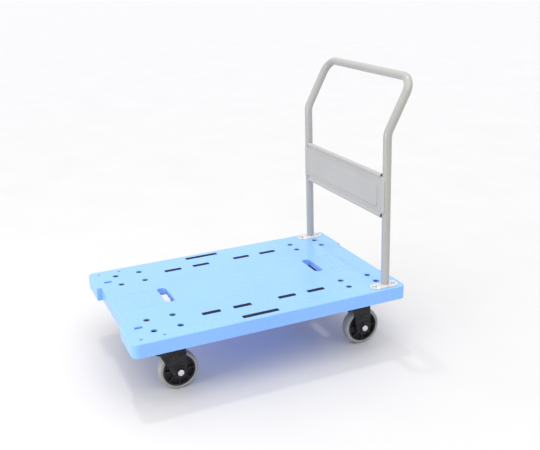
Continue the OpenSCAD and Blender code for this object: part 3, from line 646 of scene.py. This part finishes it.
class TRUCK_OT_sign_panel(bpy.types.Operator):
    """Makes the pressed sign panel with its rolled edges, raised field and tabs"""

    bl_idname = "truck.sign_panel"
    bl_label = "Sign panel"

    def execute(self, context):
        sizes, handle = context.scene.truck_panel, context.scene.truck_handle
        low, high = (np.array(c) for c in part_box("handle_tube"))
        post_x, post_y = low[0] + handle.tube_radius, high[1] - handle.tube_radius
        low_z, high_z = (c[2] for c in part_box("sign_panel"))
        bead_end = post_y - handle.tube_radius - sizes.bead_gap
        sheet_x, bead_x = post_x - sizes.ahead, post_x - sizes.bead_ahead
        bead = 2 * sizes.bead_radius
        flat_low, flat_high = low_z + bead + sizes.tab_gap, high_z - bead - 2 * sizes.tab_gap
        half_y = post_y - sizes.field_side
        field_low, field_high = low_z + sizes.field_low, high_z - sizes.field_high
        z_flat = dense_samples(flat_low, flat_high, 4 * MM, (field_low, field_high), 6 * MM, 0.6 * MM)[::-1]
        upper = rolled_edge(sizes, bead_x, sheet_x, high_z, 1, z_flat[0])
        lower = rolled_edge(sizes, bead_x, sheet_x, low_z, -1, z_flat[-1])[::-1]
        flat = np.stack([np.full_like(z_flat, sheet_x), z_flat], axis=-1)
        section = np.vstack([upper, flat, lower])
        y = dense_samples(-bead_end, bead_end, 6 * MM, (-half_y, half_y), 6 * MM, 0.6 * MM)
        sheet = np.stack(
            np.broadcast_arrays(section[:, None, 0], y[None, :], section[:, None, 1]), axis=-1
        ).copy()
        rows = slice(len(upper), len(upper) + len(flat))
        sheet[rows, :, 0] -= field_rise(
            y[None, :], z_flat[:, None], sizes, half_y, field_low, field_high
        )
        inner = handle.tube_radius + sizes.bead_gap
        outer = -(handle.tube_radius + sizes.sheet) * math.sin(sizes.tab_wrap)
        tabs = [
            (panel_tab(sizes, post_x, post_y, side, inner, outer, z_flat, handle.tube_radius), False, False)
            for side in (-1, 1)
        ]
        grids = [(sheet, False, False), (tabs[0][0][:, ::-1], False, False), tabs[1]]
        piece = add_piece(
            "pressed_sign_panel", grids, "truck", "panel_paint", ["sign_panel"], sharp_deg=60, closed=False
        )
        wall = piece.modifiers.new("wall", "SOLIDIFY")
        wall.thickness = sizes.sheet
        wall.offset = -1
        return {"FINISHED"}


# ---------------------------------------------------------------------------------------------- wheels


def tyre_surface(centre, radius, half_width, thickness, groove, segments):
    """A tyre round Y: a squared-off oval section, cut flat where it meets the core, carried round the axle.

    With angle b the section is y = w |cos b|^(2/n) and r = middle + h |sin b|^(2/n), signed, and r is held at
    the core's radius. The sides have one shallow ring.
    """
    power = 2 / 3.4
    half_height = 1.5 * thickness / 2
    middle = radius - half_height
    b = np.linspace(0, 2 * math.pi, 56, endpoint=False)[None, :]
    y = half_width * np.sign(np.cos(b)) * np.abs(np.cos(b)) ** power
    r = middle + half_height * np.sign(np.sin(b)) * np.abs(np.sin(b)) ** power
    r = np.maximum(r, radius - thickness)
    ring_r = radius - thickness * 0.62
    side = smooth_step((np.abs(y) / half_width - 0.9) / 0.08)
    y = y - np.sign(y) * side * groove * np.exp(-(((r - ring_r) / (1.1 * MM)) ** 2))
    a = np.linspace(0, 2 * math.pi, segments, endpoint=False)[:, None]
    return np.stack(np.broadcast_arrays(r * np.cos(a), y, r * np.sin(a)), axis=-1) + centre


class TRUCK_OT_tyres(bpy.types.Operator):
    """Makes the four moulded tyres"""

    bl_idname = "truck.tyres"
    bl_label = "Tyres"

    def execute(self, context):
        sizes = context.scene.truck_wheels
        for corner in CORNERS:
            node = f"{corner}_tyre"
            size = size_of(node)
            surface = tyre_surface(
                centre_of(node), size[2] / 2, size[1] / 2, sizes.thickness, sizes.groove, sizes.segments
            )
            add_piece(
                f"{corner}_moulded_tyre", [(surface, True, True)], f"{corner}_wheel", "tyre_rubber", [node]
            )
        return {"FINISHED"}


# ---------------------------------------------------------------------------------------------- strips


def strip_surface(centre, half_length, half_width, base_z, height, sizes):
    """A ribbed strip along X: a squared-off section whose width rounds off at the ends.

    The top is at height less a valley depth times a flattened cosine wave of x, with rib_step between ribs.
    """
    u = np.linspace(-1, 1, 8 * max(4, round(2 * half_length / sizes.rib_step)) + 1)[:, None]
    x = half_length * u
    from_end = half_length - np.abs(x)
    round_off = np.sqrt(np.maximum(0, 1 - (1 - np.minimum(from_end / sizes.end_radius, 1)) ** 2))
    width = half_width - sizes.end_radius * (1 - round_off)
    wave = np.tanh(2.5 * np.cos(2 * math.pi * x / sizes.rib_step)) / np.tanh(2.5)
    top = height - sizes.rib_depth * (1 - wave) / 2
    b = np.linspace(0, 2 * math.pi, 28, endpoint=False)[None, :]
    power = 2 / 5
    across = np.sign(np.cos(b)) * np.abs(np.cos(b)) ** power
    rise = (1 + np.sign(np.sin(b)) * np.abs(np.sin(b)) ** power) / 2
    wall = np.stack(np.broadcast_arrays(x, width * across, base_z + top * rise), axis=-1)
    start = np.repeat(wall[:1].mean(1, keepdims=True), b.size, 1)
    end = np.repeat(wall[-1:].mean(1, keepdims=True), b.size, 1)
    return np.concatenate([start, wall, end]) + [centre[0], centre[1], 0]


def solids_of(node):
    """Boxes, as (low, high), of the separate solids of a CAD node, found by flood fill on a merged copy."""
    copy = bmesh.new()
    copy.from_mesh(frame["nodes"][node].data)
    bmesh.ops.remove_doubles(copy, verts=copy.verts, dist=1e-6)
    unseen, boxes = set(copy.verts), []
    while unseen:
        island, edge = set(), {unseen.pop()}
        while edge:
            island |= edge
            edge = {e.other_vert(v) for v in edge for e in v.link_edges} - island
        unseen -= island
        corners = np.array([v.co for v in island])
        boxes.append((corners.min(0), corners.max(0)))
    copy.free()
    return sorted(boxes, key=lambda box: tuple(np.round(box[0], 5)))


class TRUCK_OT_strips(bpy.types.Operator):
    """Makes the ribbed grip strips in their pockets"""

    bl_idname = "truck.strips"
    bl_label = "Grip strips"

    def execute(self, context):
        sizes = context.scene.truck_strips
        for node in ("short_grip_strips", "long_grip_strips"):
            grids = []
            for low, high in solids_of(node):
                half = (high - low) / 2
                surface = strip_surface((low + high) / 2, half[0], half[1], low[2], high[2] - low[2], sizes)
                grids.append((surface, False, True))
            add_piece(f"ribbed_{node}", grids, "truck", "grip_rubber", [node], sharp_deg=50)
        return {"FINISHED"}


# ------------------------------------------------------------------------------------------- fasteners


CONE_START = 0.47  # where the cones cut the hexagons, as a share of the width across flats
CONE_SLOPE = math.tan(math.radians(30))


def hexagon(flats, steps):
    """Angles round a hexagon and the distance to its side at each.

    The distance is half the width across flats over the cosine of the angle, folded into +-30 degrees.
    """
    a = np.linspace(0, 2 * math.pi, steps, endpoint=False)[None, :]
    fold = np.mod(a + math.pi / 6, math.pi / 3) - math.pi / 6
    return a, flats / 2 / np.cos(fold)


def ring(a, r, z):
    """One row of points round Z, at angles a, distance r and height z."""
    return np.stack(np.broadcast_arrays(r * np.cos(a), r * np.sin(a), z + 0 * a), axis=-1)


def hex_head(flats, height, shank_radius, shank_length, steps=72):
    """A bolt along +Z with its head's underside at 0: a hexagon whose top is cut by a 30 degree cone.

    Where the distance r from the axis passes 0.47 flats the top falls by (r - 0.47 flats) tan 30.
    """
    a, full = hexagon(flats, steps)
    cut = CONE_START * flats
    tip = 0.15 * shank_radius
    rows = [ring(a, cut * share, height) for share in (0, 0.5, 0.8, 0.92)]
    for share in (0, 0.5, 1):
        r = cut + (full - cut) * share
        rows.append(ring(a, r, height - np.maximum(0, r - cut) * CONE_SLOPE))
    rows += [ring(a, full, 0.06 * height), ring(a, cut, 0), ring(a, shank_radius, 0)]
    rows += [ring(a, shank_radius, tip - shank_length)]
    rows += [ring(a, shank_radius - tip, -shank_length), ring(a, 0, -shank_length)]
    return np.concatenate(rows)


def hex_nut(flats, height, bore_radius, steps=72):
    """A nut along +Z from 0 to height: a hexagon whose two faces are cut by 30 degree cones, with a bore."""
    a, full = hexagon(flats, steps)
    cut = CONE_START * flats
    drop = (full - cut) * CONE_SLOPE
    lip = 0.12 * bore_radius
    rows = [
        ring(a, bore_radius, lip),
        ring(a, bore_radius + lip, 0),
        ring(a, cut, 0),
        ring(a, full, drop),
        ring(a, full, height - drop),
        ring(a, cut, height),
        ring(a, bore_radius + lip, height),
        ring(a, bore_radius, height - lip),
    ]
    return np.concatenate(rows)


def turned(points, side):
    """Points drawn along +Z, laid along the axle so that +Z becomes side times Y."""
    x, y, z = points[..., 0], points[..., 1], points[..., 2]
    return np.stack([x, side * z, y], axis=-1)


class TRUCK_OT_fasteners(bpy.types.Operator):
    """Makes the handle bolts and the axle bolts and nuts with chamfered hexagons"""

    bl_idname = "truck.fasteners"
    bl_label = "Fasteners"

    def execute(self, context):
        sizes = context.scene.truck_fasteners
        flats, head, shank = sizes.handle_flats, sizes.handle_head, sizes.handle_shank
        bore = shank + sizes.bore_gap
        bolts, nuts = [], []
        for low, high in solids_of("handle_bolts"):
            seat = np.array([(low[0] + high[0]) / 2, (low[1] + high[1]) / 2, high[2] - head])
            bolts.append((hex_head(flats, head, shank, seat[2] - low[2]) + seat, False, True))
        for low, high in solids_of("handle_nuts"):
            foot = np.array([(low[0] + high[0]) / 2, (low[1] + high[1]) / 2, low[2]])
            nuts.append((hex_nut(flats, high[2] - low[2], bore) + foot, True, True))
        add_piece("chamfered_handle_bolts", bolts, "truck", "zinc_steel", ["handle_bolts"], sharp_deg=25)
        add_piece("chamfered_handle_nuts", nuts, "truck", "zinc_steel", ["handle_nuts"], sharp_deg=25)
        for corner in CORNERS:
            self.axle(corner, sizes)
        return {"FINISHED"}

    def axle(self, corner, sizes):
        """One wheel's axle bolt, whose head is on the outer side, and its nut."""
        side = -1 if corner.endswith("left") else 1
        body = f"{corner}_caster" if corner.startswith("front") else "truck"
        bolt_size, nut_size = size_of(f"{corner}_axle_bolt"), size_of(f"{corner}_axle_nut")
        flats, reach = bolt_size[2], bolt_size[1] / 2
        seat = centre_of(f"{corner}_axle_bolt") + [0, side * (reach - sizes.axle_head), 0]
        bolt = hex_head(flats, sizes.axle_head, sizes.axle_shank, 2 * reach - sizes.axle_head)
        foot = centre_of(f"{corner}_axle_nut") - [0, nut_size[1] / 2, 0]
        nut = hex_nut(flats, nut_size[1], sizes.axle_shank + sizes.bore_gap)
        for part, points, place, turn, wrapped in (
            ("bolt", bolt, seat, side, False),
            ("nut", nut, foot, 1, True),
        ):
            add_piece(
                f"{corner}_chamfered_axle_{part}",
                [(turned(points, turn) + place, wrapped, True)],
                body,
                "zinc_steel",
                [f"{corner}_axle_{part}"],
                sharp_deg=25,
            )


# -------------------------------------------------------------------------------------- CAD's own nodes


class TRUCK_OT_finishes(bpy.types.Operator):
    """Gives each CAD node the finish of its slot"""

    bl_idname = "truck.finishes"
    bl_label = "Finishes"

    def execute(self, context):
        slots = {part["node"]: part["material_slot"] for part in frame["record"]["subparts"]}
        for node, thing in frame["nodes"].items():
            for place in thing.material_slots:
                place.material = finish(slots[node])
        return {"FINISHED"}


# ----------------------------------------------------------------------------------------------- stage


def aim(azimuth, elevation, roll):
    """Turn of a camera that looks down by elevation, turned by azimuth about Z and rolled about its view."""
    back = Vector(
        (
            math.sin(azimuth) * math.cos(elevation),
            -math.cos(azimuth) * math.cos(elevation),
            math.sin(elevation),
        )
    )
    right = Vector((0, 0, 1)).cross(back).normalized()
    up = back.cross(right)
    x = math.cos(roll) * right + math.sin(roll) * up
    y = math.cos(roll) * up - math.sin(roll) * right
    return Matrix((x, y, back)).transposed()


def add_light(name, place, target, size, power, tint):
    """A square area light at place that faces target."""
    data = bpy.data.lights.new(name, "AREA")
    data.size = size
    data.energy = power
    data.color = tint
    light = bpy.data.objects.new(name, data)
    light.location = place
    light.rotation_euler = (Vector(target) - Vector(place)).to_track_quat("-Z", "Y").to_euler()
    bpy.context.scene.collection.objects.link(light)


def add_sun(name, source, spread_deg, strength, tint):
    """A distant light that shines from the direction of source, and looks spread_deg wide."""
    data = bpy.data.lights.new(name, "SUN")
    data.angle = math.radians(spread_deg)
    data.energy = strength
    data.color = tint
    light = bpy.data.objects.new(name, data)
    light.location = Vector(source) * 4
    light.rotation_euler = Vector(source).to_track_quat("Z", "Y").to_euler()
    bpy.context.scene.collection.objects.link(light)


class TRUCK_OT_stage(bpy.types.Operator):
    """Makes the pale floor, the soft lights and the camera"""

    bl_idname = "truck.stage"
    bl_label = "Studio"

    def execute(self, context):
        scene = context.scene
        self.floor(scene)
        self.lights(scene)
        studio = scene.truck_studio
        data = bpy.data.cameras.new("camera")
        data.lens = studio.lens
        data.sensor_width = 36
        data.clip_end = 300
        camera = bpy.data.objects.new("camera", data)
        camera.location = studio.place
        camera.rotation_euler = aim(studio.azimuth, studio.elevation, studio.roll).to_euler()
        scene.collection.objects.link(camera)
        scene.camera = camera
        scene.view_settings.view_transform = "Standard"
        return {"FINISHED"}

    def floor(self, scene):
        """A wide disc at z = 0, as rings of points about the truck."""
        reach = np.array([0, 0.5, 1, 2, 4, 8, 16, 32, 64, 120])[:, None]
        a = np.linspace(0, 2 * math.pi, 64, endpoint=False)[None, :]
        disc = np.stack(np.broadcast_arrays(reach * np.cos(a), reach * np.sin(a), 0 * a), axis=-1)
        floor = bpy.data.objects.new("floor", make_mesh("floor", [(disc, False, True)], math.pi, False))
        scene.collection.objects.link(floor)
        f = Finish("floor_finish").set(specular_ior_level=0.2, roughness=0.55)
        base = tuple(scene.truck_colours.floor)
        f.colour(f.mix(f.remap(f.noise(3, 4), 0.3, 0.7, 0, 1), tone(base, 0.97), tone(base, 1.0)))
        floor.data.materials.append(f.material)

    def lights(self, scene):
        """A fill that is white overhead and cool at the horizon, two suns from above, a light at the front
        end, and the blue light that comes through the platform on to the floor.
        """
        world = bpy.data.worlds.new("fill")
        scene.world = world
        world.use_nodes = True
        tree = world.node_tree
        split = tree.nodes.new("ShaderNodeSeparateXYZ")
        tree.links.new(tree.nodes.new("ShaderNodeTexCoord").outputs["Generated"], split.inputs[0])
        ramp = tree.nodes.new("ShaderNodeMapRange")
        ramp.inputs["From Max"].default_value = 0.42
        tree.links.new(split.outputs["Z"], ramp.inputs["Value"])
        mix = tree.nodes.new("ShaderNodeMix")
        mix.data_type = "RGBA"
        mix.inputs[6].default_value = (*scene.truck_colours.shade, 1)
        mix.inputs[7].default_value = (1, 1, 1, 1)
        tree.links.new(ramp.outputs[0], mix.inputs["Factor"])
        background = tree.nodes["Background"]
        background.inputs["Strength"].default_value = 1.25
        tree.links.new(mix.outputs[2], background.inputs["Color"])
        add_sun("overhead", (-0.1, -0.5, 1), 60, 1.25, (1.0, 0.985, 0.96))
        add_sun("lamp", (0.0, 0.25, 1), 4, 0.55, (1.0, 0.985, 0.96))
        add_light("under_platform", (-0.03, 0.04, 0.17), (-0.03, 0.04, 0), 0.42, 0.30, (0.12, 0.26, 1.0))
        add_light("front_end", (-2.4, -0.5, 0.75), (-0.4, 0, 0.25), 1.2, 28, (1.0, 0.97, 0.98))


# --------------------------------------------------------------------------------------------- add-on


class TRUCK_PT_panel(bpy.types.Panel):
    """Lists the truck's steps in the sidebar"""

    bl_idname = "TRUCK_PT_panel"
    bl_label = "Platform truck"
    bl_space_type = "VIEW_3D"
    bl_region_type = "UI"
    bl_category = "Platform truck"

    def draw(self, context):
        for step in STEPS:
            self.layout.operator(step.bl_idname)
        for group in SETTINGS:
            box = self.layout.box()
            settings = getattr(context.scene, group)
            for key in settings.bl_rna.properties.keys():
                if key not in {"rna_type", "name"}:
                    box.prop(settings, key)


SETTINGS = {
    "truck_handle": TruckHandleSizes,
    "truck_panel": TruckPanelSizes,
    "truck_wheels": TruckWheelSizes,
    "truck_strips": TruckStripSizes,
    "truck_fasteners": TruckFastenerSizes,
    "truck_colours": TruckColours,
    "truck_studio": TruckStudio,
}
STEPS = (
    TRUCK_OT_handle,
    TRUCK_OT_sign_panel,
    TRUCK_OT_tyres,
    TRUCK_OT_strips,
    TRUCK_OT_fasteners,
    TRUCK_OT_finishes,
    TRUCK_OT_stage,
)
CLASSES = (*SETTINGS.values(), *STEPS, TRUCK_PT_panel)


def register():
    """Registers the classes and hangs the settings on the scene."""
    for each in CLASSES:
        bpy.utils.register_class(each)
    for key, group in SETTINGS.items():
        setattr(bpy.types.Scene, key, PointerProperty(type=group))


def unregister():
    """Takes the settings off the scene and unregisters the classes."""
    for key in SETTINGS:
        delattr(bpy.types.Scene, key)
    for each in reversed(CLASSES):
        bpy.utils.unregister_class(each)


def main():
    """Makes every piece."""
    register()
    bpy.ops.truck.handle()
    bpy.ops.truck.sign_panel()
    bpy.ops.truck.tyres()
    bpy.ops.truck.strips()
    bpy.ops.truck.fasteners()
    bpy.ops.truck.finishes()
    bpy.ops.truck.stage()


if __name__ == "__main__":
    main()
